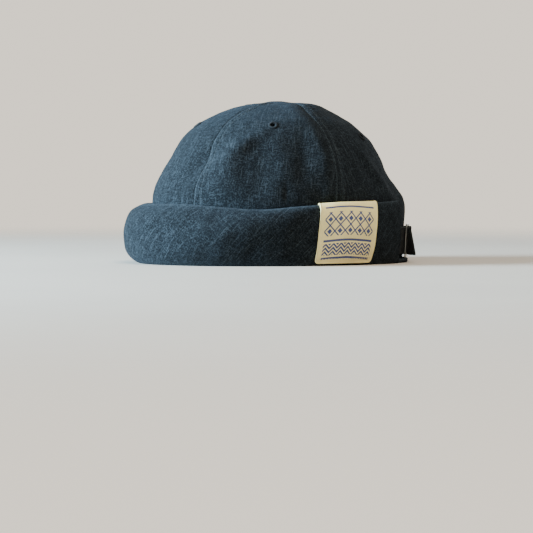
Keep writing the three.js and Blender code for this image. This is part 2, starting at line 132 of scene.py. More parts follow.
# %% Crown form
# height, front, back, side, pouch (mm)
CROWN = np.array([
    [0.8, 98, 103.5, 82, 9],
    [24, 98.5, 103, 83, 10.5],
    [44, 98, 102, 83, 13],
    [54, 97, 101.5, 82.5, 11.5],
    [63, 95, 100, 81.5, 6],
    [73, 90.5, 98, 79, 0.5],
    [86, 83, 93, 74.5, 0],
    [100, 74.5, 84.7, 67.5, 0],
    [113, 61.2, 71.3, 57, 0],
    [120, 49.3, 60, 47, 0],
    [126, 34.5, 49, 35, 0],
    [130.5, 19, 38, 22, 0],
    [133.4, -10, 10, 0, 0],
])
CROWN_TOP = len(CROWN) - 1
POUCH_SPREAD = 40


def same_shape(*values):
    """The values as arrays of one shape."""
    return np.broadcast_arrays(*(np.asarray(v, float) for v in values))


def unit(vector):
    """The vector divided by its length."""
    return vector / np.maximum(np.linalg.norm(vector, axis=-1, keepdims=True), 1e-12)


def level_out(angle, position):
    """Level direction straight out of the oval: the gradient of x squared over a squared plus y squared over
    b squared, made one unit long."""
    section = rows_at(CROWN, position)
    half = (section[..., 1] + section[..., 2]) / 2
    return unit(np.stack([np.cos(angle) * section[..., 3], np.sin(angle) * half, 0 * half], -1))


def crown_form(angle, position):
    """Point of the crown's outer face: the oval's middle plus half its length times the cosine and half its
    width times the sine, moved out by the pouch, which is a bell over the angle from the back."""
    angle, position = same_shape(angle, position)
    height, front, back, side, pouch = np.moveaxis(rows_at(CROWN, position), -1, 0)
    half, middle = (front + back) / 2, (back - front) / 2
    point = np.stack([middle + half * np.cos(angle), side * np.sin(angle), height], -1)
    return point + level_out(angle, position) * (pouch * bell(from_back(angle) / POUCH_SPREAD))[..., None]


def off_crown(angle, height, distance):
    """Point at a height and a level distance out from the crown's face."""
    angle, height, distance = same_shape(angle, height, distance)
    position = row_of(CROWN[:, 0], height)
    point = crown_form(angle, position) + level_out(angle, position) * distance[..., None]
    point[..., 2] = height
    return point


def face_out(face, angle, position, step=1e-3):
    """Unit normal of a face given as a function of two parameters: the cross product of its two slopes."""
    around = face(angle + step, position) - face(angle - step, position)
    up = face(angle, position + step) - face(angle, position - step)
    return unit(np.cross(around, up))


# The frame stands the middle of the whole cap on the origin, so the crown's own middle is measured from it.
front_box, left_box, right_box = (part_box("crown_panel_" + n) for n in ("front", "left", "right"))
SHIFT = np.array([
    1000 * front_box[0][0] + CROWN[1, 1],
    500 * (left_box[0][1] + right_box[1][1]),
    0,
])


def placed(points):
    """Millimetres about the crown's middle to metres in the frame."""
    return (np.asarray(points) + SHIFT) * 0.001


def run_along(points, axis=0):
    """Distance along each line of points from its start: the running sum of the lengths of its steps."""
    steps = np.linalg.norm(np.diff(points, axis=axis), axis=-1)
    return np.cumsum(np.insert(steps, 0, 0, axis=axis), axis=axis)


MERIDIAN_ROWS = np.linspace(0, CROWN_TOP, 600)
MERIDIAN_MM = run_along(crown_form(-math.pi / 2, MERIDIAN_ROWS))
print("crown stands", SHIFT.round(2), "mm from the origin")
print("rim to top along the cloth", round(MERIDIAN_MM[-1]), "mm")

# %% [markdown]
# ## Folds
# Worn linen keeps soft folds where it was pressed or pulled. A fold is a ridge or dent with a bell across
# its width and another along its length, leaning to one side. Sculpting by hand would not repeat, while a
# table of folds can be read, moved and weakened row by row.

# %% Folds
# angle, height, lean to the right of upright, half length, half width, depth (mm, degrees)
CROWN_FOLDS = np.array([
    [-116.5, 91, 40, 14, 6, -0.7],
    [-120.8, 94, 45, 26, 6.3, 1.8],
    [-145, 80, 28, 19, 8, -2.7],
    [-125.4, 78.4, 13, 26, 12.5, 4.2],
    [-107, 76.5, -1, 19, 10, -1.6],
    [-86.7, 86.3, 9, 14, 6.3, -1.1],
    [-74.7, 83, -9, 42, 10.5, 4.2],
    [-87, 112.2, 2, 15, 8.5, 1],
    [-95, 53, 0, 9, 1.6, -1],
    [-50.8, 88.3, -19, 20, 6, -1.6],
    [-41, 75.5, -35, 26, 6, 1.8],
    [46, 84, 26, 24, 7, -2],
    [75, 83, 9, 40, 10.5, 3.2],
    [96, 88, -30, 20, 7, -1.5],
    [125, 78.4, -13, 26, 12.5, 3.2],
    [157, 92, -28, 20, 7, -1.8],
])
FOLD_REACH, WAVES = 30, 12


def fold_frames(table, point_at):
    """Each fold's middle on a face, and its directions along, across and out of the cloth."""
    angle, height, lean = np.radians(table[:, 0]), table[:, 1], np.radians(table[:, 2])
    middle = point_at(angle, height)
    around = unit(point_at(angle + 0.01, height) - middle)
    up = unit(point_at(angle, height + 1) - middle)
    along = unit(up * np.cos(lean)[:, None] + around * np.sin(lean)[:, None])
    out = unit(np.cross(around, up))
    return middle, along, np.cross(out, along), out


def fold_lift(table, frames, points):
    """Sum of the folds at the points: depth times a bell along, a bell across and a bell out of the cloth."""
    lift = np.zeros(points.shape[:-1])
    for (_, _, _, length, width, depth), middle, along, across, out in zip(table, *frames):
        away = points - middle
        flat = bell(away @ along / length) * bell(away @ across / width)
        lift += depth * flat * bell(away @ out / FOLD_REACH)
    return lift


def rumple(points, wave, depth, seed):
    """Small unevenness of slack cloth: sine waves in fixed, seeded directions, added up and divided by the
    root of half their number."""
    dice = np.random.default_rng(seed)
    heading = unit(dice.normal(size=(WAVES, 3)))
    number = 2 * math.pi / (wave * dice.uniform(0.7, 1.6, WAVES))
    phase = dice.uniform(0, 2 * math.pi, WAVES)
    return depth * np.sin(points @ (heading * number[:, None]).T + phase).sum(-1) / math.sqrt(WAVES / 2)


crown_frames = fold_frames(CROWN_FOLDS, lambda angle, height: off_crown(angle, height, 0))
print("folds on the crown:", len(CROWN_FOLDS), "deepest", CROWN_FOLDS[:, 5].min(), "mm")

# %% [markdown]
# ## From a grid to a closed cloth wall
# Every cloth piece here is two grids, the face and the lining side, with narrow walls where the grid ends.
# A Solidify modifier would do the same for an even thickness, but it can't flatten the fold that stands on
# the ground, so both sides are worked out. A mask leaves cells out, which makes a true hole with a wall of
# its own. Each point also carries its place on the flat cloth in millimetres, so that the weave follows the
# cut.

# %% Cloth wall
def mesh_piece(name, points, quads, cloth, sharp=40):
    """Mesh object from metres and four-cornered faces; corners that fall together are merged, so that a
    pole closes with triangles."""
    _, first, number = np.unique(points.round(7), axis=0, return_index=True, return_inverse=True)
    quads = number.reshape(-1)[quads]
    same = quads == np.roll(quads, -1, axis=1)
    merged = same.sum(1)
    faces = quads[merged == 0].tolist()
    for corner in range(4):
        lost = (merged == 1) & same[:, corner]
        faces += np.delete(quads[lost], corner, axis=1).tolist()
    used = np.unique(quads[merged < 2])
    renumber = np.full(len(first), -1)
    renumber[used] = np.arange(len(used))
    mesh = bpy.data.meshes.new(name)
    mesh.from_pydata(points[first][used].tolist(), [], [renumber[f].tolist() for f in faces])
    mesh.polygons.foreach_set("use_smooth", np.ones(len(mesh.polygons), bool))
    layer = mesh.attributes.new("cloth", "FLOAT_VECTOR", "POINT")
    layer.data.foreach_set("vector", np.ascontiguousarray(cloth[first][used], np.float32).ravel())
    mesh.set_sharp_from_angle(angle=math.radians(sharp))
    mesh.update()
    piece = bpy.data.objects.new(name, mesh)
    bpy.context.scene.collection.objects.link(piece)
    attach(piece, "root")
    return piece


def cloth_wall(name, outer, inner, cloth, keep=None, sharp=40):
    """Closed wall between two grids of points. Seen from outside, the first index runs to the right and the
    second upwards. Where a kept cell meets a missing one, a narrow quad joins the two sides."""
    face = np.arange(outer[..., 0].size).reshape(outer.shape[:2])
    back = face + face.size
    keep = np.ones(np.subtract(face.shape, 1), bool) if keep is None else keep
    around = np.pad(keep, 1)
    turned = [1, 0, 3, 2]
    quads = [np.stack([face[:-1, :-1], face[1:, :-1], face[1:, 1:], face[:-1, 1:]], -1)[keep]]
    quads.append(np.stack([back[:-1, :-1], back[:-1, 1:], back[1:, 1:], back[1:, :-1]], -1)[keep])
    before, after = around[:-1, 1:-1], around[1:, 1:-1]
    upright = np.stack([face[:, :-1], face[:, 1:], back[:, 1:], back[:, :-1]], -1)
    quads += [upright[after & ~before], upright[before & ~after][:, turned]]
    below, above = around[1:-1, :-1], around[1:-1, 1:]
    level = np.stack([face[1:], face[:-1], back[:-1], back[1:]], -1)
    quads += [level[above & ~below], level[below & ~above][:, turned]]
    points = np.concatenate([outer.reshape(-1, 3), inner.reshape(-1, 3)])
    cloth = np.tile(cloth.reshape(-1, 3), (2, 1))
    return mesh_piece(name, placed(points), np.concatenate(quads), cloth, sharp)


# %% [markdown]
# ## Materials: small node helpers
# A shader is a graph, and most of these graphs are arithmetic on the cloth's own millimetres. Small helpers
# keep that short: one adds a node with its inputs set, one does sums on sockets, and the others make the
# few groups of nodes that every finish here needs.

# %% Node helpers
NOISE_ROUGH = 0.55


def add_node(tree, kind, values=None, **settings):
    """New node with settings as properties and values as inputs; a socket given as a value is linked."""
    node = tree.nodes.new(kind)
    for key, value in settings.items():
        setattr(node, key, value)
    for key, value in (values or {}).items():
        if isinstance(value, bpy.types.NodeSocket):
            tree.links.new(value, node.inputs[key])
        else:
            node.inputs[key].default_value = value
    return node


def sums(tree, operation, *values):
    """Result of one Math node."""
    return add_node(tree, "ShaderNodeMath", dict(enumerate(values)), operation=operation).outputs[0]


def joined(tree, *values):
    """Vector made of three numbers or sockets."""
    return add_node(tree, "ShaderNodeCombineXYZ", dict(enumerate(values))).outputs[0]


def cloth_place(tree):
    """Each point's own place on the flat cloth in millimetres, as one vector."""
    return add_node(tree, "ShaderNodeAttribute", attribute_name="cloth").outputs["Vector"]


def streaks(tree, vector, scale, detail=2.0):
    """Noise stretched by its own scale on each axis, between 0 and 1."""
    mapped = add_node(tree, "ShaderNodeMapping", {"Vector": vector, "Scale": scale})
    values = {"Vector": mapped.outputs[0], "Scale": 1.0, "Detail": detail, "Roughness": NOISE_ROUGH}
    return add_node(tree, "ShaderNodeTexNoise", values).outputs["Fac"]


def start_material(name, **constants):
    """Material with an empty tree but its shader, whose constant values are set on its own sockets."""
    material = bpy.data.materials.new(name)
    material.use_nodes = True
    tree = material.node_tree
    shader = tree.nodes["Principled BSDF"]
    for key, value in constants.items():
        shader.inputs[key.replace("_", " ")].default_value = value
    return material, tree, shader


def ramp(tree, factor, *stops):
    """Colour ramp through (place, colour) stops."""
    node = add_node(tree, "ShaderNodeValToRGB", {"Fac": factor})
    elements = node.color_ramp.elements
    elements[0].position, elements[1].position = stops[0][0], stops[-1][0]
    for place, _ in stops[1:-1]:
        elements.new(place)
    for element, (_, colour) in zip(elements, stops):
        element.color = (*colour, 1)
    return node.outputs["Color"]


def mixed(tree, share, first, second):
    """Colour between two others, by a share."""
    values = {"Factor": share, "A": first, "B": (*second, 1)}
    return add_node(tree, "ShaderNodeMix", values, data_type="RGBA").outputs["Result"]


def dress(tree, shader, colour, height, strength, distance):
    """Colour for the shader, and relief: a Bump node between a height and the shader's normal."""
    tree.links.new(colour, shader.inputs["Base Color"])
    bump = add_node(tree, "ShaderNodeBump", {"Strength": strength, "Distance": distance, "Height": height})
    tree.links.new(bump.outputs[0], shader.inputs["Normal"])


# %% [markdown]
# ## Dark linen
# The cloth is a plain weave of uneven navy yarn. Each crossing catches the light a little differently, and
# here and there a yarn is thicker and paler for a stretch: the slubs that make linen look like linen. So the
# material counts the yarns both ways. A random value for each crossing gives the grain, and a noise drawn
# out along each yarn gives the slubs where it is high enough. Grain, slubs and the roundness of the yarns
# are also relief, so that the weave shows more where the light grazes it. The cloth's third value marks
# folds and seams, where rubbing has paled the dye.

# %% Linen
# yarn width, slub lengths (mm), the level where slubs start, their weights, the noise between two yarns
YARN, SLUB_LENGTH = 0.7, (11.0, 7.0)
SLUB_FROM, SLUB_WEIGHT, NOISE_APART = 0.56, (1.7, 1.1), 3.73
# how much of the shade comes from the grain, from wide patches and from the plain ground
GRAIN, PATCHES, GROUND = 0.62, 0.1, 0.03


def linen(name, deep, middle, pale, worn):
    """Plain weave: a random shade for each crossing, plus slubs where a noise along a yarn passes a level."""
    material, tree, shader = start_material(
        name, Roughness=0.95, Sheen_Weight=0.03, Sheen_Roughness=0.5, Sheen_Tint=(0.6, 0.78, 1.0, 1),
        Specular_IOR_Level=0.08)
    x, y, rub = add_node(tree, "ShaderNodeSeparateXYZ", {0: cloth_place(tree)}).outputs
    counts = [sums(tree, "FLOOR", sums(tree, "DIVIDE", v, YARN)) for v in (x, y)]
    crossing = joined(tree, *counts, 0.5)
    grain = add_node(tree, "ShaderNodeTexWhiteNoise", {"Vector": crossing}).outputs["Value"]
    slubs = 0.0
    for count, along, length, weight in zip(counts, (y, x), SLUB_LENGTH, SLUB_WEIGHT):
        place = joined(tree, sums(tree, "MULTIPLY", count, NOISE_APART), along, weight)
        slub = sums(tree, "SUBTRACT", streaks(tree, place, (1, 1 / length, 1), 0.0), SLUB_FROM)
        slubs = sums(tree, "MULTIPLY_ADD", sums(tree, "MAXIMUM", slub, 0.0), weight, slubs)
    patches = streaks(tree, joined(tree, x, y, 0.0), (0.04, 0.04, 1), 2.0)
    shade = sums(tree, "MULTIPLY_ADD", grain, GRAIN, sums(tree, "MULTIPLY_ADD", patches, PATCHES, GROUND))
    shade = sums(tree, "ADD", shade, slubs)
    colour = ramp(tree, shade, (0.0, deep), (0.42, middle), (1.0, pale))
    dyed = mixed(tree, sums(tree, "MULTIPLY", rub, shade), colour, worn)
    waves = (sums(tree, "SINE", sums(tree, "MULTIPLY", v, math.pi / YARN)) for v in (x, y))
    yarns = sums(tree, "MULTIPLY_ADD", sums(tree, "ABSOLUTE", sums(tree, "MULTIPLY", *waves)), 0.4, slubs)
    dress(tree, shader, dyed, sums(tree, "MULTIPLY_ADD", grain, 0.35, yarns), 0.7, 0.0004)
    return material


LINEN = linen(
    "dark_linen", deep=(0.0018, 0.0024, 0.0029), middle=(0.0073, 0.0094, 0.0108),
    pale=(0.029, 0.036, 0.041), worn=(0.04, 0.051, 0.058))
print("linen nodes:", len(LINEN.node_tree.nodes))

# %% [markdown]
# ## The crown's gores
# A gore is a tapering panel between two seams. The seams are felled: the edge of one gore is folded under
# and sewn down beside the seam, which leaves a groove, a raised band and two rows of stitches, and the pull
# of the thread puckers the cloth. All of this is low relief on the same surface, as functions of the
# distance to the gore's seams. The grid is closer beside the seams, where the relief is fine.

# %% Gores
# from, to, eyelet, eyelet height (degrees from the back, mm)
GORES = {
    "front": (141, 219, 181, 113),
    "left": (-141, -71, -103.5, 111.4),
    "back_left": (-71, 0, -34.8, 103.3),
    "back_right": (0, 71, 34.8, 103.3),
    "right": (71, 141, 103.5, 111.4),
}
CROWN_CLOTH, SEAM_SINK, EYELET_HOLE = 1.6, 0.8, 1.8
# the felled band's width and stitch rows, how far it rises, how deep its grooves and puckers are
FELLED, STITCHED = 7.2, (1.5, 6.0)
BAND_LIFT, GROOVE, PUCKER, PUCKER_PITCH = 0.5, 0.4, 0.22, 7.1
# distances from the seam between which the band rises and falls again (mm)
BAND_RISES, BAND_FALLS = (0.2, 1.2), (FELLED - 0.2, FELLED + 0.9)
# distance from the seam, half width (mm) and share: grooves, puckers at both of a gore's edges, rubbed lines
GROOVES = [(0, 0.8, 1)] + [(row, 0.7, 1) for row in STITCHED]
PULLED, PULLED_FAR = [(9, 3.5, 1), (3.8, 2, 0.6)], [(4, 3, 0.6)]
RUBBED = [(0.9, 0.7, 0.9), (FELLED, 0.7, 0.6)]
# heights where the crown comes clear of the cuff and where seams run out, gore widths where the band and
# the rubbing start
FOLDS_START, SEAM_FADE, BAND_WIDTHS, RUB_WIDTHS = (46, 58), (126, 133), (14, 34), (10, 30)
# unevenness: wave and depth (mm), seed
SLACK = ((22, 0.22, 3), (9, 0.07, 4))
GATHER_COUNT, GATHER_DEPTH, GATHER_HEIGHT, GATHER_REACH, GATHER_SPREAD = 20, 1.5, 54, 13, 24


def per_radian(angle, position, step=1e-3):
    """Millimetres round the crown for each radian: the distance that a small step goes, over the step."""
    return np.linalg.norm(crown_form(angle + step, position) - crown_form(angle, position), axis=-1) / step


def crown_wall(angle, position, share, start, turn):
    """Point of a gore's wall, from its face at share 0 to its lining side at share 1: the form, moved along
    its normal by the folds, the gathers at the back, the sunken seam with its felled and stitched band,
    puckers along the stitches and a little unevenness."""
    form = crown_form(angle, position)
    out = face_out(crown_form, angle, np.minimum(position, CROWN_TOP - 0.01))
    around = per_radian(angle, position)
    height = form[..., 2]
    clear, top = ease(height, *FOLDS_START), ease(height, *SEAM_FADE)
    gather = GATHER_DEPTH * np.cos(GATHER_COUNT * angle) * bell(from_back(angle) / GATHER_SPREAD)
    gather = gather * bell((height - GATHER_HEIGHT) / GATHER_REACH)
    lift = clear * (fold_lift(CROWN_FOLDS, crown_frames, form) + gather)
    across = np.abs(2 * (angle - start) / turn - 1)
    lift -= (1 - top) * SEAM_SINK * across**6
    near, far = (angle - start) * around, (start + turn - angle) * around
    band = BAND_LIFT * ease(near, *BAND_RISES) * (1 - ease(near, *BAND_FALLS))
    band -= GROOVE * (bells(near, GROOVES) + bells(far, GROOVES[:1]))
    climb = np.interp(position, MERIDIAN_ROWS, MERIDIAN_MM)
    beat = climb * 2 * math.pi / PUCKER_PITCH + 2.5 * np.sin(climb / 13)
    tug = np.sin(beat) * np.sin(climb / 11 + 5 * start)
    pulled = bells(near, PULLED) + bells(far, PULLED_FAR)
    sewn = clear * ease(around * turn, *BAND_WIDTHS)
    lift += sewn * (band + PUCKER * tug * pulled) + clear * sum(rumple(form, *wave) for wave in SLACK)
    return form + out * (lift - share * CROWN_CLOTH)[..., None]


GORE_COLUMNS, GORE_ROWS, GORES_APART, CROWDED = 110, 170, 400, 0.45
spread = np.linspace(0, 1, GORE_COLUMNS + 1)
spread = (1 - CROWDED) * spread + CROWDED * (1 - np.cos(math.pi * spread)) / 2
gores = {}
for name, (first, last, eyelet, eyelet_height) in GORES.items():
    start, turn = math.radians(first), math.radians(last - first)
    rows = np.linspace(0, CROWN_TOP, GORE_ROWS + 1)
    angle, position = np.meshgrid(start + spread * turn, rows, indexing="ij")
    outer, inner = (crown_wall(angle, position, share, start, turn) for share in (0, 1))
    around = per_radian(angle, position)
    near = (angle - start) * around
    rub = bells(near, RUBBED) * ease(around * turn, *RUB_WIDTHS)
    climb = np.interp(position, MERIDIAN_ROWS, MERIDIAN_MM)
    cloth = np.stack([(angle - start - turn / 2) * around + GORES_APART * len(gores), climb, rub], -1)
    middle = crown_wall(math.radians(eyelet), row_of(CROWN[:, 0], eyelet_height), 0, start, turn)
    centres = (outer[:-1, :-1] + outer[1:, 1:]) / 2
    keep = np.linalg.norm(centres - middle, axis=-1) > EYELET_HOLE
    gore = cloth_wall("gore_" + name, outer, inner, cloth, keep)
    gore.data.materials.append(LINEN)
    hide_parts("crown_panel_" + name)
    gores[name] = gore
    print(gore.name, len(gore.data.polygons), "faces,", int((~keep).sum()), "cells cut for the eyelet")

# %% [markdown]
# ## The cuff
# The cuff is one long band cut on the bias, sewn to the rim, folded up on the ground and rolled. At the
# front it is a full round roll, along the sides it lies flat, and at the back it stops. Three sections are
# blended round the cap by shares, and slanting folds show where the bias has twisted. The fold that stands
# on the ground is pressed flat by holding every point above zero.

# %% Cuff form
# front, side and end: distance out from the crown and height (mm)
CUFF = np.array([
    [1.25, 17, 1.25, 17, 1.25, 17],
    [1.25, 4, 1.25, 4, 1.25, 4],
    [3.4, 0.4, 2.5, 0.4, 2.7, 0.4],
    [9.5, 0.4, 4.2, 0.4, 5.2, 0.4],
    [16.8, 4.8, 5.2, 5.2, 6.8, 5.2],
    [20.8, 13, 6.7, 14, 6.9, 14],
    [21.6, 29, 8.6, 29, 6.9, 29],
    [18.4, 40, 8.3, 39.5, 7, 39.5],
    [10.5, 45.4, 6.7, 46.4, 6.2, 46.4],
    [4.4, 47.6, 4.4, 48, 4.4, 48],
    [3, 44.4, 3.3, 44.6, 3.3, 44.6],
    [3.6, 36, 3.4, 36, 3.4, 36],
])
# degrees from the back, share of the front, share of the end, height of the top edge
CUFF_ROUND = np.array([
    [33, 0, 1, 51.5],
    [48, 0, 0.3, 50.2],
    [71, 0, 0, 49.4],
    [90, 0.02, 0, 47.2],
    [106, 0.12, 0, 45],
    [122, 0.42, 0, 46.6],
    [140, 0.74, 0, 49],
    [160, 0.95, 0, 49.6],
    [180, 1, 0, 49.6],
])
CUFF_FOLDS = np.array([
    [-136, 33.5, 61, 22, 9.5, -1.5],
    [-116.7, 27, 68, 40, 10.7, 3.8],
    [-98.7, 27, 67, 42, 13, 3.5],
    [-150, 27.8, 54, 22, 8.3, -0.6],
    [-112, 12, 58, 24, 7, -1],
    [118, 26, -66, 38, 10.5, 3.2],
    [99, 27, -66, 40, 13, 3],
    [138, 33, -60, 22, 9.5, -1.5],
    [152, 25, -48, 22, 9, -0.8],
])
CUFF_LAST, CUFF_TOP, CUFF_ENDS, CUFF_CLOTH, CUFF_PRESSED = len(CUFF) - 1, 49, 33, 1.8, 2
# rows of the section: its outside, and where the folds begin and end
OUTSIDE_FROM, OUTSIDE_ROWS, CUFF_FOLDS_LOW, CUFF_FOLDS_HIGH = 3.5, 5, (3.2, 4.6), (7.6, 9)
# unevenness: wave and depth (mm), seed; rubbed places: row, half width, share
CUFF_SLACK, CUFF_RUBBED = (20, 0.25, 7), [(8.7, 0.5, 0.8), (3.2, 0.6, 0.3)]


def cuff_section(angle, position):
    """Distance out and height of the cuff's middle layer: the three sections mixed by their shares at this
    angle, and stretched upwards to the top edge's height."""
    share = rows_at(CUFF_ROUND, row_of(CUFF_ROUND[:, 0], np.abs(from_back(angle))))
    row = rows_at(CUFF, position)
    mix = np.stack([share[..., 1], 1 - share[..., 1] - share[..., 2], share[..., 2]], -1)
    out, up = (mix * row[..., 0::2]).sum(-1), (mix * row[..., 1::2]).sum(-1)
    stretch = (share[..., 3] - CUFF_PRESSED) / (CUFF_TOP - CUFF_PRESSED)
    return out, np.where(up > CUFF_PRESSED, CUFF_PRESSED + (up - CUFF_PRESSED) * stretch, up)


def cuff_form(angle, position, distance):
    """Point at a distance in front of the cuff's middle layer, along the normal of its section, and not below
    the ground."""
    angle, position, distance = same_shape(angle, position, distance)
    out, up = cuff_section(angle, position)
    out0, up0 = cuff_section(angle, position - 0.02)
    out1, up1 = cuff_section(angle, position + 0.02)
    length = np.hypot(out1 - out0, up1 - up0)
    height = up - distance * (out1 - out0) / length
    return off_crown(angle, np.maximum(height, 0), out + distance * (up1 - up0) / length)


def cuff_outside(angle, height):
    """Point of the cuff's outside, whose rows climb from the ground to the top edge."""
    position = OUTSIDE_FROM + OUTSIDE_ROWS * np.asarray(height, float) / CUFF_TOP
    return cuff_form(angle, position, CUFF_CLOTH / 2)


cuff_frames = fold_frames(CUFF_FOLDS, cuff_outside)


def cuff_wall(angle, position, distance):
    """Point of the cuff with its slanting folds and a little unevenness, which die out at the ground and the
    top edge."""
    angle, position, distance = same_shape(angle, position, distance)
    point = cuff_form(angle, position, distance)
    free = ease(position, *CUFF_FOLDS_LOW) * (1 - ease(position, *CUFF_FOLDS_HIGH))
    lift = free * (fold_lift(CUFF_FOLDS, cuff_frames, point) + rumple(point, *CUFF_SLACK))
    return point + level_out(angle, np.ones(angle.shape)) * lift[..., None]


print("cuff stands out at the front, side and end:", CUFF[:, 0::2].max(0), "mm")

# %% Cuff
CUFF_COLUMNS, CUFF_ROWS, CUFF_OUTER_ROW = 420, 110, 60
angle, position = np.meshgrid(
    np.radians(np.linspace(CUFF_ENDS, 360 - CUFF_ENDS, CUFF_COLUMNS + 1)),
    np.linspace(0, CUFF_LAST, CUFF_ROWS + 1), indexing="ij")
outer, inner = (cuff_wall(angle, position, side * CUFF_CLOTH / 2) for side in (1, -1))
middle = (outer + inner) / 2
along = run_along(middle[:, CUFF_OUTER_ROW])[:, None] + 0 * position
climb = run_along(middle, axis=1)
rub = bells(position, CUFF_RUBBED)
cloth = np.stack([(along - climb) * math.sqrt(0.5), (along + climb) * math.sqrt(0.5), rub], -1)
cuff = cloth_wall("cuff_roll", outer, inner, cloth)
cuff.data.materials.append(LINEN)
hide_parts("cuff")

# %% [markdown]
# ## The label
# A cream cotton label hangs over the top edge of the cuff, a little wider at the fold than at its lower
# edge, with rounded corners and a narrow turned rim. It follows the cuff's own surface at a small distance,
# so it takes the same roll over the edge.

# %% Label
LABEL_ANGLE, LABEL_WIDTH, LABEL_NARROW, LABEL_LEAN, LABEL_RADIUS = -66.2, 57, 4, 6, 107
LABEL_FROM, LABEL_TO, LABEL_CLOTH, PIECE_GAP = 3.5, 10.6, 1.0, 0.3
LABEL_CORNER, LABEL_RIM, LABEL_RISE, LABEL_SHIFT, LABEL_TALL = 3.2, 0.22, 5.4, 3, 60
LABEL_COLUMNS, LABEL_ROWS, LABEL_CROWDED, LABEL_GROWTH, LABEL_EDGE = 100, 130, 0.4, 1.3, (0.5, 1.4)


def label_point(u, v, share):
    """Point of the label: across it by an angle that leans with the height, up the cuff's section by row."""
    position = LABEL_FROM + (LABEL_TO - LABEL_FROM) * v
    rise = np.clip((position - LABEL_FROM) / LABEL_RISE, 0, 1) * CUFF_TOP
    width = LABEL_WIDTH - LABEL_NARROW * (1 - rise / CUFF_TOP)
    along = u * width - LABEL_WIDTH / 2 + rise * math.tan(math.radians(LABEL_LEAN)) - LABEL_SHIFT
    angle = math.radians(LABEL_ANGLE) + along / LABEL_RADIUS
    side = LABEL_WIDTH * (0.5 - np.abs(u - 0.5))
    rim = LABEL_RIM * (1 - ease(np.minimum(side, LABEL_TALL * v), *LABEL_EDGE)) * (1 - share)
    point = cuff_wall(angle, position, CUFF_CLOTH / 2 + PIECE_GAP + (1 - share) * LABEL_CLOTH + rim)
    point[..., 2] = np.maximum(point[..., 2], PIECE_GAP)
    return point


columns, rows = np.linspace(0, 1, LABEL_COLUMNS + 1), np.linspace(0, 1, LABEL_ROWS + 1)
u, v = np.meshgrid(columns, rows**LABEL_GROWTH, indexing="ij")
u = 0.5 + LABEL_CROWDED * np.sin(math.pi * (u - 0.5)) / 2 + (1 - LABEL_CROWDED) * (u - 0.5)
corner = np.clip(LABEL_CORNER - LABEL_TALL * v, 0, LABEL_CORNER)
inset = LABEL_CORNER - np.sqrt(LABEL_CORNER**2 - corner**2)
u = 0.5 + (u - 0.5) * (1 - 2 * inset / LABEL_WIDTH)
outer, inner = label_point(u, v, 0), label_point(u, v, 1)
climb = run_along(outer, axis=1)
label = cloth_wall("label_cloth", outer, inner, np.stack([(u - 0.5) * LABEL_WIDTH, climb, 0 * u], -1))
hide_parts("label")

# %% [markdown]
# ## The label's print
# The label is printed in one dark blue on cream: three level rules, a band of chevrons and a field of
# lozenges. Each motif is arithmetic on the label's millimetres: a folded coordinate makes the chevrons, and
# the sum of two folded coordinates makes the lozenges. A noise along the thread breaks the ink up a little.

# %% Label material
COTTON_YARN, PRINT_HALF = 0.34, 24.0
# middle and half height of each band of the print, and the motifs' repeats (mm)
RULES = ((5.2, 0.9), (19.6, 0.9), (46.5, 0.7))
CHEVRONS, CHEVRON_FOLD, CHEVRON_PITCH, CHEVRON_SHARE = (12.4, 4.9), 3.6, 3.2, 0.62
LOZENGES, LOZENGE_FOLD, LOZENGE_SHIFT, LOZENGE_LINE, LOZENGE_DOT = (33.0, 9.6), 4.8, 1.6, 0.75, 2.3
# places and shares of the cream, from soiled to clean
CREAM_STOPS = ((0.3, 0.8), (0.55, 1), (0.75, 1.1))


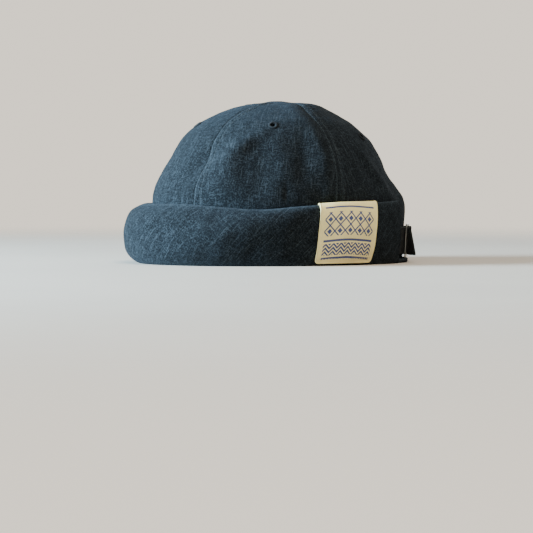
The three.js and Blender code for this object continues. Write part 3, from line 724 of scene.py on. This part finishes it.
def label_cotton(cream, ink):
    """Fine cotton with a printed pattern; each motif is a mask of ones and zeros on the flat label."""
    material, tree, shader = start_material("label_cotton", Roughness=0.85, Sheen_Weight=0.05)
    cloth = cloth_place(tree)
    x, y, _ = add_node(tree, "ShaderNodeSeparateXYZ", {0: cloth}).outputs
    waves = (sums(tree, "SINE", sums(tree, "MULTIPLY", v, math.pi / COTTON_YARN)) for v in (x, y))
    weave = sums(tree, "MULTIPLY", *waves)
    stain = streaks(tree, cloth, (0.06, 0.05, 1), 4.0)
    yarns = streaks(tree, cloth, (2.2, 0.3, 1))
    tone = sums(tree, "MULTIPLY_ADD", yarns, 0.35, sums(tree, "MULTIPLY", stain, 0.65))
    ground = ramp(tree, tone, *((place, [share * c for c in cream]) for place, share in CREAM_STOPS))
    mask = 0.0
    for middle, half in RULES:
        mask = sums(tree, "MAXIMUM", mask, sums(tree, "COMPARE", y, middle, half))
    folded = sums(tree, "ADD", y, sums(tree, "PINGPONG", x, CHEVRON_FOLD))
    repeat = sums(tree, "FRACT", sums(tree, "DIVIDE", folded, CHEVRON_PITCH))
    stripe = sums(tree, "LESS_THAN", repeat, CHEVRON_SHARE)
    upright = sums(tree, "PINGPONG", sums(tree, "ADD", y, LOZENGE_SHIFT), LOZENGE_FOLD)
    diamond = sums(tree, "ADD", sums(tree, "PINGPONG", x, LOZENGE_FOLD), upright)
    outline = sums(tree, "COMPARE", diamond, LOZENGE_FOLD, LOZENGE_LINE)
    lattice = sums(tree, "MAXIMUM", outline, sums(tree, "LESS_THAN", diamond, LOZENGE_DOT))
    for motif, (middle, half) in ((stripe, CHEVRONS), (lattice, LOZENGES)):
        kept = sums(tree, "MULTIPLY", motif, sums(tree, "COMPARE", y, middle, half))
        mask = sums(tree, "MAXIMUM", mask, kept)
    inside = sums(tree, "LESS_THAN", sums(tree, "ABSOLUTE", x), PRINT_HALF)
    inked = sums(tree, "MULTIPLY_ADD", yarns, 0.3, 0.8)
    cover = sums(tree, "MULTIPLY", sums(tree, "MULTIPLY", mask, inside), inked)
    relief = sums(tree, "MULTIPLY_ADD", weave, 0.5, yarns)
    dress(tree, shader, mixed(tree, cover, ground, ink), relief, 0.4, 0.0002)
    return material


label.data.materials.append(label_cotton((0.94, 0.76, 0.34), (0.016, 0.04, 0.17)))
print("label material nodes:", len(label.data.materials[0].node_tree.nodes))

# %% [markdown]
# ## Threads
# A row of stitches is one small shape repeated along a line. The shape is a bead with blunt round ends, and
# whole arrays carry it to every stitch: a place, a direction along the row and a direction out of the
# cloth.

# %% Stitch rows
BEAD_RINGS, BEAD_SIDES, STITCH_RISE = 7, 6, 0.05


def beads(name, rows, rise, length, thick, material):
    """Rows of stitches: a bead whose radius is the square root of one minus the cube of its place along the
    stitch, closed to a point at both ends and carried to each middle with its own directions."""
    middle, along, out = (np.concatenate(part) for part in zip(*rows))
    middle = middle + rise * out
    turn = np.linspace(0, 2 * math.pi, BEAD_SIDES + 1)[:-1]
    reach, spin = np.meshgrid(np.linspace(-1, 1, BEAD_RINGS), turn, indexing="ij")
    radius = np.sqrt(np.clip(1 - np.abs(reach) ** 3, 0, 1)) * thick / 2
    shape = np.stack([reach * length / 2, radius * np.cos(spin), radius * np.sin(spin)], -1)
    directions = np.stack([along, np.cross(out, along), out], 1)
    points = np.einsum("rtk,nkj->nrtj", shape, directions) + middle[:, None, None]
    number = np.arange(points[..., 0].size).reshape(points.shape[:3])
    after = np.roll(number, -1, axis=2)
    quads = np.stack([number[:, :-1], after[:, :-1], after[:, 1:], number[:, 1:]], -1).reshape(-1, 4)
    place = np.tile(reach.ravel(), len(middle))
    cloth = np.stack([np.repeat(np.arange(len(middle)), reach.size) * 3.0, place, 0 * place], -1)
    piece = mesh_piece(name, placed(points.reshape(-1, 3)), quads, cloth, 180)
    piece.data.materials.append(material)
    print(name, len(middle), "with", len(piece.data.polygons), "faces")
    return piece


def along_line(points, out, pitch):
    """Evenly spaced places on a line, with the directions along it and out of the cloth."""
    run = run_along(points)
    at = np.arange(pitch / 2, run[-1], pitch)

    def between(values, place):
        """Values at places along the line, by straight lines between its points."""
        return np.stack([np.interp(place, run, column) for column in values.T], -1)

    along = unit(between(points, at + 0.4) - between(points, at - 0.4))
    normal = between(out, at)
    normal -= along * (normal * along).sum(1, keepdims=True)
    return between(points, at), along, unit(normal)


def thread(name, dark, light):
    """Sewing thread: a noise along each stitch changes its shade and gives a little relief."""
    material, tree, shader = start_material(name, Roughness=0.8, Sheen_Weight=0.05, Specular_IOR_Level=0.15)
    shade = streaks(tree, cloth_place(tree), (0.9, 2.5, 1))
    dress(tree, shader, ramp(tree, shade, (0.3, dark), (0.7, light)), shade, 0.3, 0.0001)
    return material


NAVY_THREAD = thread("navy_thread", (0.014, 0.0175, 0.02), (0.036, 0.045, 0.05))
CREAM_THREAD = thread("cream_thread", (0.45, 0.38, 0.25), (0.7, 0.62, 0.45))

# stitch pitch, length and thickness (mm), and the height where the cuff hides a seam
SEAM_PITCH, SEAM_STITCH, SEAM_THICK, SEAM_FROM = 3.1, 2.5, 0.62, 40
# rows of the crown: where the seam at the back starts, and how far below the top all the stitches end
BACK_FROM, SEAM_SHORT = 0.3, 0.75
rows = []
for first, last, _, _ in GORES.values():
    start, turn = math.radians(first), math.radians(last - first)
    lowest = BACK_FROM if first == 0 else row_of(CROWN[:, 0], SEAM_FROM)
    position = np.linspace(lowest, CROWN_TOP - SEAM_SHORT, 500)
    for row in STITCHED:
        angle = start + np.minimum(row / per_radian(start, position), turn / 3)
        line = crown_wall(angle, position, 0, start, turn)
        rows.append(along_line(line, face_out(crown_form, angle, position), SEAM_PITCH))
seam_stitches = beads("seam_stitches", rows, STITCH_RISE, SEAM_STITCH, SEAM_THICK, NAVY_THREAD)

# %% Label stitches
# share of the label's height, the angle that the label spans (radians), stitch pitch, length and thickness
SEWN_AT, LABEL_SPAN, LABEL_PITCH, LABEL_STITCH, LABEL_THICK = 0.085, 0.53, 2.6, 1.9, 0.5
u = np.linspace(0.04, 0.96, 300)
line = label_point(u, np.full(u.shape, SEWN_AT), 0)
out = level_out(math.radians(LABEL_ANGLE) + (u - 0.5) * LABEL_SPAN, np.ones(u.shape))
rows = [along_line(line, out, LABEL_PITCH)]
label_stitches = beads("label_stitches", rows, 0, LABEL_STITCH, LABEL_THICK, CREAM_THREAD)

# %% [markdown]
# ## Sewn eyelets
# Each gore has a small eyelet worked in thread. The ring is a torus whose tube swells and thins round the
# ring, once for each wrap of thread, which reads as stitching at a glance and needs no extra pieces.

# %% Eyelets
EYELET_THREAD = thread("eyelet_thread", (0.0055, 0.0068, 0.0078), (0.016, 0.0195, 0.022))
EYELET_RIM, EYELET_TUBE, EYELET_FLAT, EYELET_RISE = 2.8, 1.0, 0.62, 0.25
EYELET_WRAPS, WRAP_SWELL, RING_STEPS, TUBE_STEPS = 30, 0.13, 208, 16
turns = (np.linspace(0, 2 * math.pi, steps + 1)[:-1] for steps in (RING_STEPS, TUBE_STEPS))
ring, tube = np.meshgrid(*turns, indexing="ij")
size = EYELET_TUBE * (1 + WRAP_SWELL * np.cos(EYELET_WRAPS * ring + 0.7 * np.sin(tube)))
reach = EYELET_RIM + size * np.cos(tube)
flat_ring = np.stack([reach * np.cos(ring), reach * np.sin(ring), EYELET_FLAT * size * np.sin(tube)], -1)
number = np.arange(ring.size).reshape(ring.shape)
after = np.roll(number, -1, 0)
quads = np.stack([number, after, np.roll(after, -1, 1), np.roll(number, -1, 1)], -1).reshape(-1, 4)
cloth = np.stack([ring * 12, tube, 0 * ring], -1).reshape(-1, 3)
for name, (first, last, eyelet, eyelet_height) in GORES.items():
    start, turn = math.radians(first), math.radians(last - first)
    angle, position = math.radians(eyelet), row_of(CROWN[:, 0], eyelet_height)
    out = face_out(crown_form, angle, position)
    right = unit(np.cross([0, 0, 1], out))
    middle = crown_wall(angle, position, 0, start, turn) + EYELET_RISE * out
    points = middle + flat_ring @ np.stack([right, np.cross(out, right), out])
    worked = mesh_piece("worked_eyelet_" + name, placed(points.reshape(-1, 3)), quads, cloth, 180)
    worked.data.materials.append(EYELET_THREAD)
    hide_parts("eyelet_" + name)
print("eyelets:", len(GORES), "rings of", len(quads), "faces")

# %% [markdown]
# ## Strap, tab and hem at the back
# The strap comes from under the cuff's left end, goes through the slide, round its middle bar and back, and
# its loose end stands away from the cap. A short tab from the other side holds the slide and is sewn back
# on itself. Seen from above each is a path given by its distance from the crown; the strip is that path
# carried up over the strap's width, with rounded edges so that the webbing has a body.

# %% Strap and tab
# angle, distance from the crown at the lower and upper edges (degrees, mm)
STRAP_PATH = np.array([
    [-40, 4.1, 4.1], [-34, 3.9, 3.9], [-29, 2.4, 2.4], [-24, 1.2, 1.2], [-19.5, 1.15, 1.15],
    [-15.5, 1.15, 1.15], [-11.6, 1.3, 1.3], [-10.5, 3.05, 3.05], [-11.6, 4.85, 4.85], [-15, 5.2, 5.2],
    [-19, 5.8, 5.8], [-22, 7.8, 6.9], [-25, 11.6, 9], [-27.5, 16.6, 11.4],
])
TAB_PATH = np.array([
    [40, 4.1, 4.1], [34, 3.9, 3.9], [29, 2.4, 2.4], [22, 1.15, 1.15], [10, 1.15, 1.15], [-1, 1.15, 1.15],
    [-5, 1.2, 1.2], [-7.9, 1.6, 1.6], [-9.1, 3.6, 3.6], [-7.9, 5.6, 5.6], [-5.4, 6.3, 6.3], [-2, 5.1, 5.1],
    [2, 3.4, 3.4], [6, 3.15, 3.15],
])
STRAP_BOTTOM, STRAP_TOP, STRAP_CLOTH, STRAP_STEPS, STRAP_ROWS = 6.4, 29.6, 1.6, 180, 32
STRAP_WIDTH = STRAP_TOP - STRAP_BOTTOM
# herringbone: width of a slanting row, its slant, width of a rib (mm); power that rounds the strap's edges
HERRING_ROW, HERRING_SLANT, HERRING_RIB, STRAP_EDGE = 3.0, 0.8, 0.7, 24


def band_middle(path, position, v):
    """Middle of a band: off the crown by the path's distance, which runs straight from its lower edge to its
    upper one."""
    angle, lower, upper = np.moveaxis(rows_at(path, position), -1, 0)
    return off_crown(np.radians(angle), STRAP_BOTTOM + STRAP_WIDTH * v, lower + (upper - lower) * v)


def band_wall(path, position, v, side):
    """Band with rounded edges: half its thickness to each side, shrinking as the square root of one minus a
    high power of the place across it."""
    ahead = band_middle(path, position + 0.01, v) - band_middle(path, position - 0.01, v)
    out = unit(np.cross(ahead, [0, 0, 1.0]))
    body = np.sqrt(np.clip(1 - np.abs(2 * v - 1) ** STRAP_EDGE, 0.02, 1))
    return band_middle(path, position, v) + out * (side * body * STRAP_CLOTH / 2)[..., None]


def webbing():
    """Herringbone webbing: the place along the band, slanted by a fold across it, folded again into ribs."""
    material, tree, shader = start_material(
        "dark_webbing", Roughness=0.9, Sheen_Weight=0.03, Specular_IOR_Level=0.15)
    cloth = cloth_place(tree)
    x, y, _ = add_node(tree, "ShaderNodeSeparateXYZ", {0: cloth}).outputs
    slanted = sums(tree, "MULTIPLY_ADD", sums(tree, "PINGPONG", y, HERRING_ROW), HERRING_SLANT, x)
    rib = sums(tree, "PINGPONG", slanted, HERRING_RIB)
    uneven = sums(tree, "MULTIPLY", streaks(tree, cloth, (0.3, 1.2, 1)), 0.6)
    shade = sums(tree, "MULTIPLY_ADD", rib, 0.5, uneven)
    stops = (0.25, (0.0035, 0.0037, 0.0033)), (0.5, (0.0075, 0.008, 0.007)), (0.8, (0.017, 0.018, 0.0155))
    dress(tree, shader, ramp(tree, shade, *stops), rib, 0.6, 0.0004)
    return material


WEBBING = webbing()
bands = {}
PATHS = {"strap_webbing": ("back_strap", STRAP_PATH), "tab_webbing": ("buckle_tab", TAB_PATH)}
for name, (node, path) in PATHS.items():
    steps, rows = np.linspace(0, len(path) - 1, STRAP_STEPS + 1), np.linspace(0, 1, STRAP_ROWS + 1)
    position, v = np.meshgrid(steps, rows, indexing="ij")
    outer, inner = (band_wall(path, position, v, side) for side in (1, -1))
    along = run_along(outer[:, STRAP_ROWS // 2])
    cloth = np.stack([along[:, None] + 0 * v, v * STRAP_WIDTH, 0 * v], -1)
    piece = cloth_wall(name, outer, inner, cloth)
    piece.data.materials.append(WEBBING)
    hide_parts(node)
    bands[name] = piece, (0.001 * STRAP_WIDTH, 0.001 * along[-1])
    print(name, round(along[-1]), "mm long")

# %% Strap stitches
# path, place along it and the side that shows
HELD_BY = ((STRAP_PATH, 12.55, -1), (TAB_PATH, 12.1, 1), (TAB_PATH, 12.75, 1))
STRAP_PITCH, STRAP_STITCH, STRAP_THICK = 2.6, 2.0, 0.5
v = np.linspace(0.1, 0.9, 60)
rows = []
for path, place, side in HELD_BY:
    line, deeper = (band_wall(path, np.full(v.shape, place), v, reach * side) for reach in (1, 0.5))
    rows.append(along_line(line, line - deeper, STRAP_PITCH))
strap_stitches = beads("strap_stitches", rows, STITCH_RISE, STRAP_STITCH, STRAP_THICK, NAVY_THREAD)

# %% Hem at the back
HEM_HEIGHT, HEM_DEPTH, HEM_ENDS, HEM_POWER = 3.6, 4.6, 31, 0.7
HEM_COLUMNS, HEM_SIDES, HEM_RUBBED = 140, 32, [(0.6, 0.5, 0.3)]
# millimetres of cloth for each degree along the hem and each radian round it
HEM_ALONG, HEM_ROUND = 1.9, 1.2


def boxed(x):
    """A cosine or sine raised to a power below one, with its sign kept, which makes a circle boxier."""
    return np.sign(x) * np.abs(x) ** HEM_POWER


def hem_point(angle, around):
    """Rolled hem: a boxy round section, half its depth times the boxed cosine and half its height times the
    boxed sine, held clear of the crown and standing on the ground."""
    out = (HEM_DEPTH + PIECE_GAP) / 2 + (HEM_DEPTH - PIECE_GAP) / 2 * boxed(np.cos(around))
    up = HEM_HEIGHT / 2 + HEM_HEIGHT / 2 * boxed(np.sin(around))
    point = off_crown(angle, np.maximum(up, CROWN[0, 0]), out)
    point[..., 2] = up
    return point


columns = np.radians(np.linspace(-HEM_ENDS, HEM_ENDS, HEM_COLUMNS + 1))
angle, around = np.meshgrid(columns, np.linspace(-math.pi, math.pi, HEM_SIDES + 1), indexing="ij")
points = hem_point(angle, around)
points[[0, -1]] = points[[0, -1]].mean(1, keepdims=True)
number = np.arange(angle.size).reshape(angle.shape)
quads = np.stack([number[:-1, :-1], number[1:, :-1], number[1:, 1:], number[:-1, 1:]], -1).reshape(-1, 4)
rub = bells(around, HEM_RUBBED)
cloth = np.stack([np.degrees(angle) * HEM_ALONG, around * HEM_ROUND, rub], -1).reshape(-1, 3)
hem = mesh_piece("rolled_hem", placed(points.reshape(-1, 3)), quads, cloth)
hem.data.materials.append(LINEN)
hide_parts("back_hem")
print("hem", len(hem.data.polygons), "faces")

# %% [markdown]
# ## The slide
# The strap is held by a plain nickel slide: a stamped plate with two slots. It is the same kind of wall as
# the cloth, a grid with cells left out, and only its thickness differs: near every edge the plate thins
# by a quarter circle, as the tumbled metal does, so the rims catch the light.

# %% Slide form
SLIDE_ANGLE, SLIDE_LIFT, SLIDE_BOTTOM, SLIDE_TOP = math.radians(-13), 2.3, 4.1, 31.9
SLIDE_PLATE, SLIDE_ROUND, SLIDE_RIM, SLIDE_SHARP = 1.4, 0.6, 0.15, 70
SLIDE_ACROSS, SLIDE_UP, SLOT_FROM, SLOT_TO, SLOT_UP = 12, 13.9, 2, 9, 12
SLOT_MIDDLE, SLOT_HALF = (SLOT_TO + SLOT_FROM) / 2, (SLOT_TO - SLOT_FROM) / 2
CLOSE_TICKS, EVEN_TICKS = np.array([0, 0.06, 0.2, 0.4, 0.65, 1.0]), 1.5


def ticks(*edges):
    """Grid lines that are close together on both sides of each edge, and even in between."""
    lines = np.concatenate([edge + side * CLOSE_TICKS for edge in edges for side in (-1, 1)])
    lines = np.concatenate([lines, np.arange(edges[0], edges[-1], EVEN_TICKS)])
    return np.unique(lines[(lines >= edges[0]) & (lines <= edges[-1])].round(3))


across = ticks(-SLIDE_ACROSS, -SLOT_TO, -SLOT_FROM, SLOT_FROM, SLOT_TO, SLIDE_ACROSS)
x, y = np.meshgrid(across, ticks(-SLIDE_UP, -SLOT_UP, SLOT_UP, SLIDE_UP), indexing="ij")
beside = np.maximum(np.abs(np.abs(x) - SLOT_MIDDLE) - SLOT_HALF, 0)
slot = np.hypot(beside, np.maximum(np.abs(y) - SLOT_UP, 0))
edge = np.minimum(slot, np.minimum(SLIDE_ACROSS - np.abs(x), SLIDE_UP - np.abs(y)))
thin = 1 - np.clip(edge / SLIDE_ROUND, 0, 1)
half = SLIDE_PLATE / 2 * (SLIDE_RIM + (1 - SLIDE_RIM) * np.sqrt(1 - thin**2))[..., None]
middle_height = (SLIDE_BOTTOM + SLIDE_TOP) / 2
centre = off_crown(SLIDE_ANGLE, middle_height, SLIDE_LIFT + SLIDE_PLATE / 2)
ahead, behind = (off_crown(SLIDE_ANGLE + turn, middle_height, 0) for turn in (0.05, -0.05))
right = unit(ahead - behind)
out = unit(np.cross(right, off_crown(SLIDE_ANGLE, SLIDE_TOP, 0) - off_crown(SLIDE_ANGLE, SLIDE_BOTTOM, 0)))
flat = centre + x[..., None] * right + y[..., None] * np.cross(out, right)
centre_x, centre_y = (x[:-1, :-1] + x[1:, 1:]) / 2, (y[:-1, :-1] + y[1:, 1:]) / 2
metal = (np.abs(np.abs(centre_x) - SLOT_MIDDLE) > SLOT_HALF) | (np.abs(centre_y) > SLOT_UP)
cloth = np.stack([x, y, 0 * x], -1)
slide = cloth_wall("nickel_slide", flat + half * out, flat - half * out, cloth, metal, SLIDE_SHARP)
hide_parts("buckle")
print("slide", len(slide.data.polygons), "faces")


# %% Slide finish
def nickel():
    """Brushed nickel: a noise drawn out along the plate changes its shade and its roughness together."""
    material, tree, shader = start_material("brushed_nickel", Metallic=1.0)
    worn = streaks(tree, cloth_place(tree), (0.5, 4.0, 1), 4.0)
    colour = ramp(tree, worn, (0.3, (0.50, 0.48, 0.43)), (0.7, (0.74, 0.72, 0.66)))
    tree.links.new(sums(tree, "MULTIPLY_ADD", worn, -0.25, 0.48), shader.inputs["Roughness"])
    dress(tree, shader, colour, worn, 0.15, 0.0001)
    return material


slide.data.materials.append(nickel())
print("slide material nodes:", len(slide.data.materials[0].node_tree.nodes))

# %% [markdown]
# ## The cloth's flat sizes
# The gores, the cuff, the label and the two lengths of webbing are sheets. The cuff, the label and the
# webbing were measured along their own surfaces, and the webbing's flat sizes are printed. A gore tapers, so
# its cut is an estimate: its angle times the rim's radius, its length, and a share of that rectangle.

for name, gore in gores.items():
    first, last, _, _ = GORES[name]
for name, (band, flat_size) in bands.items():
    print(name, [round(v, 3) for v in flat_size], "m flat")

# %% [markdown]
# ## Floor and light
# The cap is seen in cool window light from the left, which leaves its right side nearly dark. One large
# area light does that, low enough to graze the folds. A wide, weak cool light overhead lifts the top, a warm
# one high in front lifts the crown more than the cuff, and a weak one behind keeps the back readable. The
# floor is a pale sheet of paper without an edge: it turns clear with the distance and lets the pale world
# show, so there is no horizon behind the cap from any side.

# %% Floor
FLOOR_REACH, FLOOR_FADE = 1.6, (0.45, 1.4)
corners = [(x * FLOOR_REACH, y * FLOOR_REACH, 0) for x, y in ((-1, -1), (1, -1), (1, 1), (-1, 1))]
floor_mesh = bpy.data.meshes.new("floor")
floor_mesh.from_pydata(corners, [], [(0, 1, 2, 3)])
floor = bpy.data.objects.new("floor", floor_mesh)
bpy.context.scene.collection.objects.link(floor)
floor_paper, tree, shader = start_material("pale_floor_paper", Roughness=0.9)
place = add_node(tree, "ShaderNodeTexCoord").outputs["Object"]
tint = ramp(tree, streaks(tree, place, (3, 3, 3), 5.0), (0.3, (0.43, 0.36, 0.29)), (0.7, (0.47, 0.40, 0.32)))
tree.links.new(tint, shader.inputs["Base Color"])
reach = add_node(tree, "ShaderNodeVectorMath", {0: place}, operation="LENGTH").outputs["Value"]
limits = {"From Min": FLOOR_FADE[0], "From Max": FLOOR_FADE[1], "To Min": 1.0, "To Max": 0.0}
fade = add_node(tree, "ShaderNodeMapRange", {"Value": reach, **limits}, interpolation_type="SMOOTHSTEP")
tree.links.new(fade.outputs[0], shader.inputs["Alpha"])
floor_mesh.materials.append(floor_paper)
print("floor reaches", FLOOR_REACH, "m and is clear from", FLOOR_FADE[1], "m")


# %% Light
AIM_HEIGHT = 0.06
# aside, forward, height and size (m), watts, colour
LIGHTS = {
    "window": (-1.60, 0.36, 0.46, 0.7, 268, (0.53, 0.775, 1.0)),
    "skylight": (-0.45, -0.05, 1.8, 1.8, 10, (0.45, 0.76, 1.0)),
    "room": (0.3, 0.8, 1.9, 1.0, 48, (1.0, 0.94, 0.84)),
    "behind": (0.5, -1.7, 0.7, 1.4, 14, (0.94, 0.97, 1.0)),
}


def soft_light(name, aside, forward, height, size, watts, colour):
    """Square area light placed by the picture, aside to the right and forward to the camera, and aimed at
    the cap."""
    data = bpy.data.lights.new(name, "AREA")
    data.shape, data.size, data.energy, data.color = "SQUARE", size, watts, colour
    lamp = bpy.data.objects.new(name, data)
    spot = aside * rightwards + forward * towards
    lamp.location = (spot[0], spot[1], height)
    tilt = math.atan2(math.hypot(*spot), height - AIM_HEIGHT)
    lamp.rotation_euler = (tilt, 0, math.atan2(-spot[1], -spot[0]) - math.pi / 2)
    bpy.context.scene.collection.objects.link(lamp)


for name, light in LIGHTS.items():
    soft_light(name, *light)
ROOM_LIGHT, ROOM_SEEN = 0.1, 1.3
world = bpy.data.worlds.new("room")
bpy.context.scene.world = world
world.use_nodes = True
sky = world.node_tree
seen = add_node(sky, "ShaderNodeLightPath").outputs["Is Camera Ray"]
strength = sums(sky, "MULTIPLY_ADD", seen, ROOM_SEEN - ROOM_LIGHT, ROOM_LIGHT)
sky.nodes["Background"].inputs["Color"].default_value = (1.0, 0.91, 0.77, 1)
sky.links.new(strength, sky.nodes["Background"].inputs["Strength"])
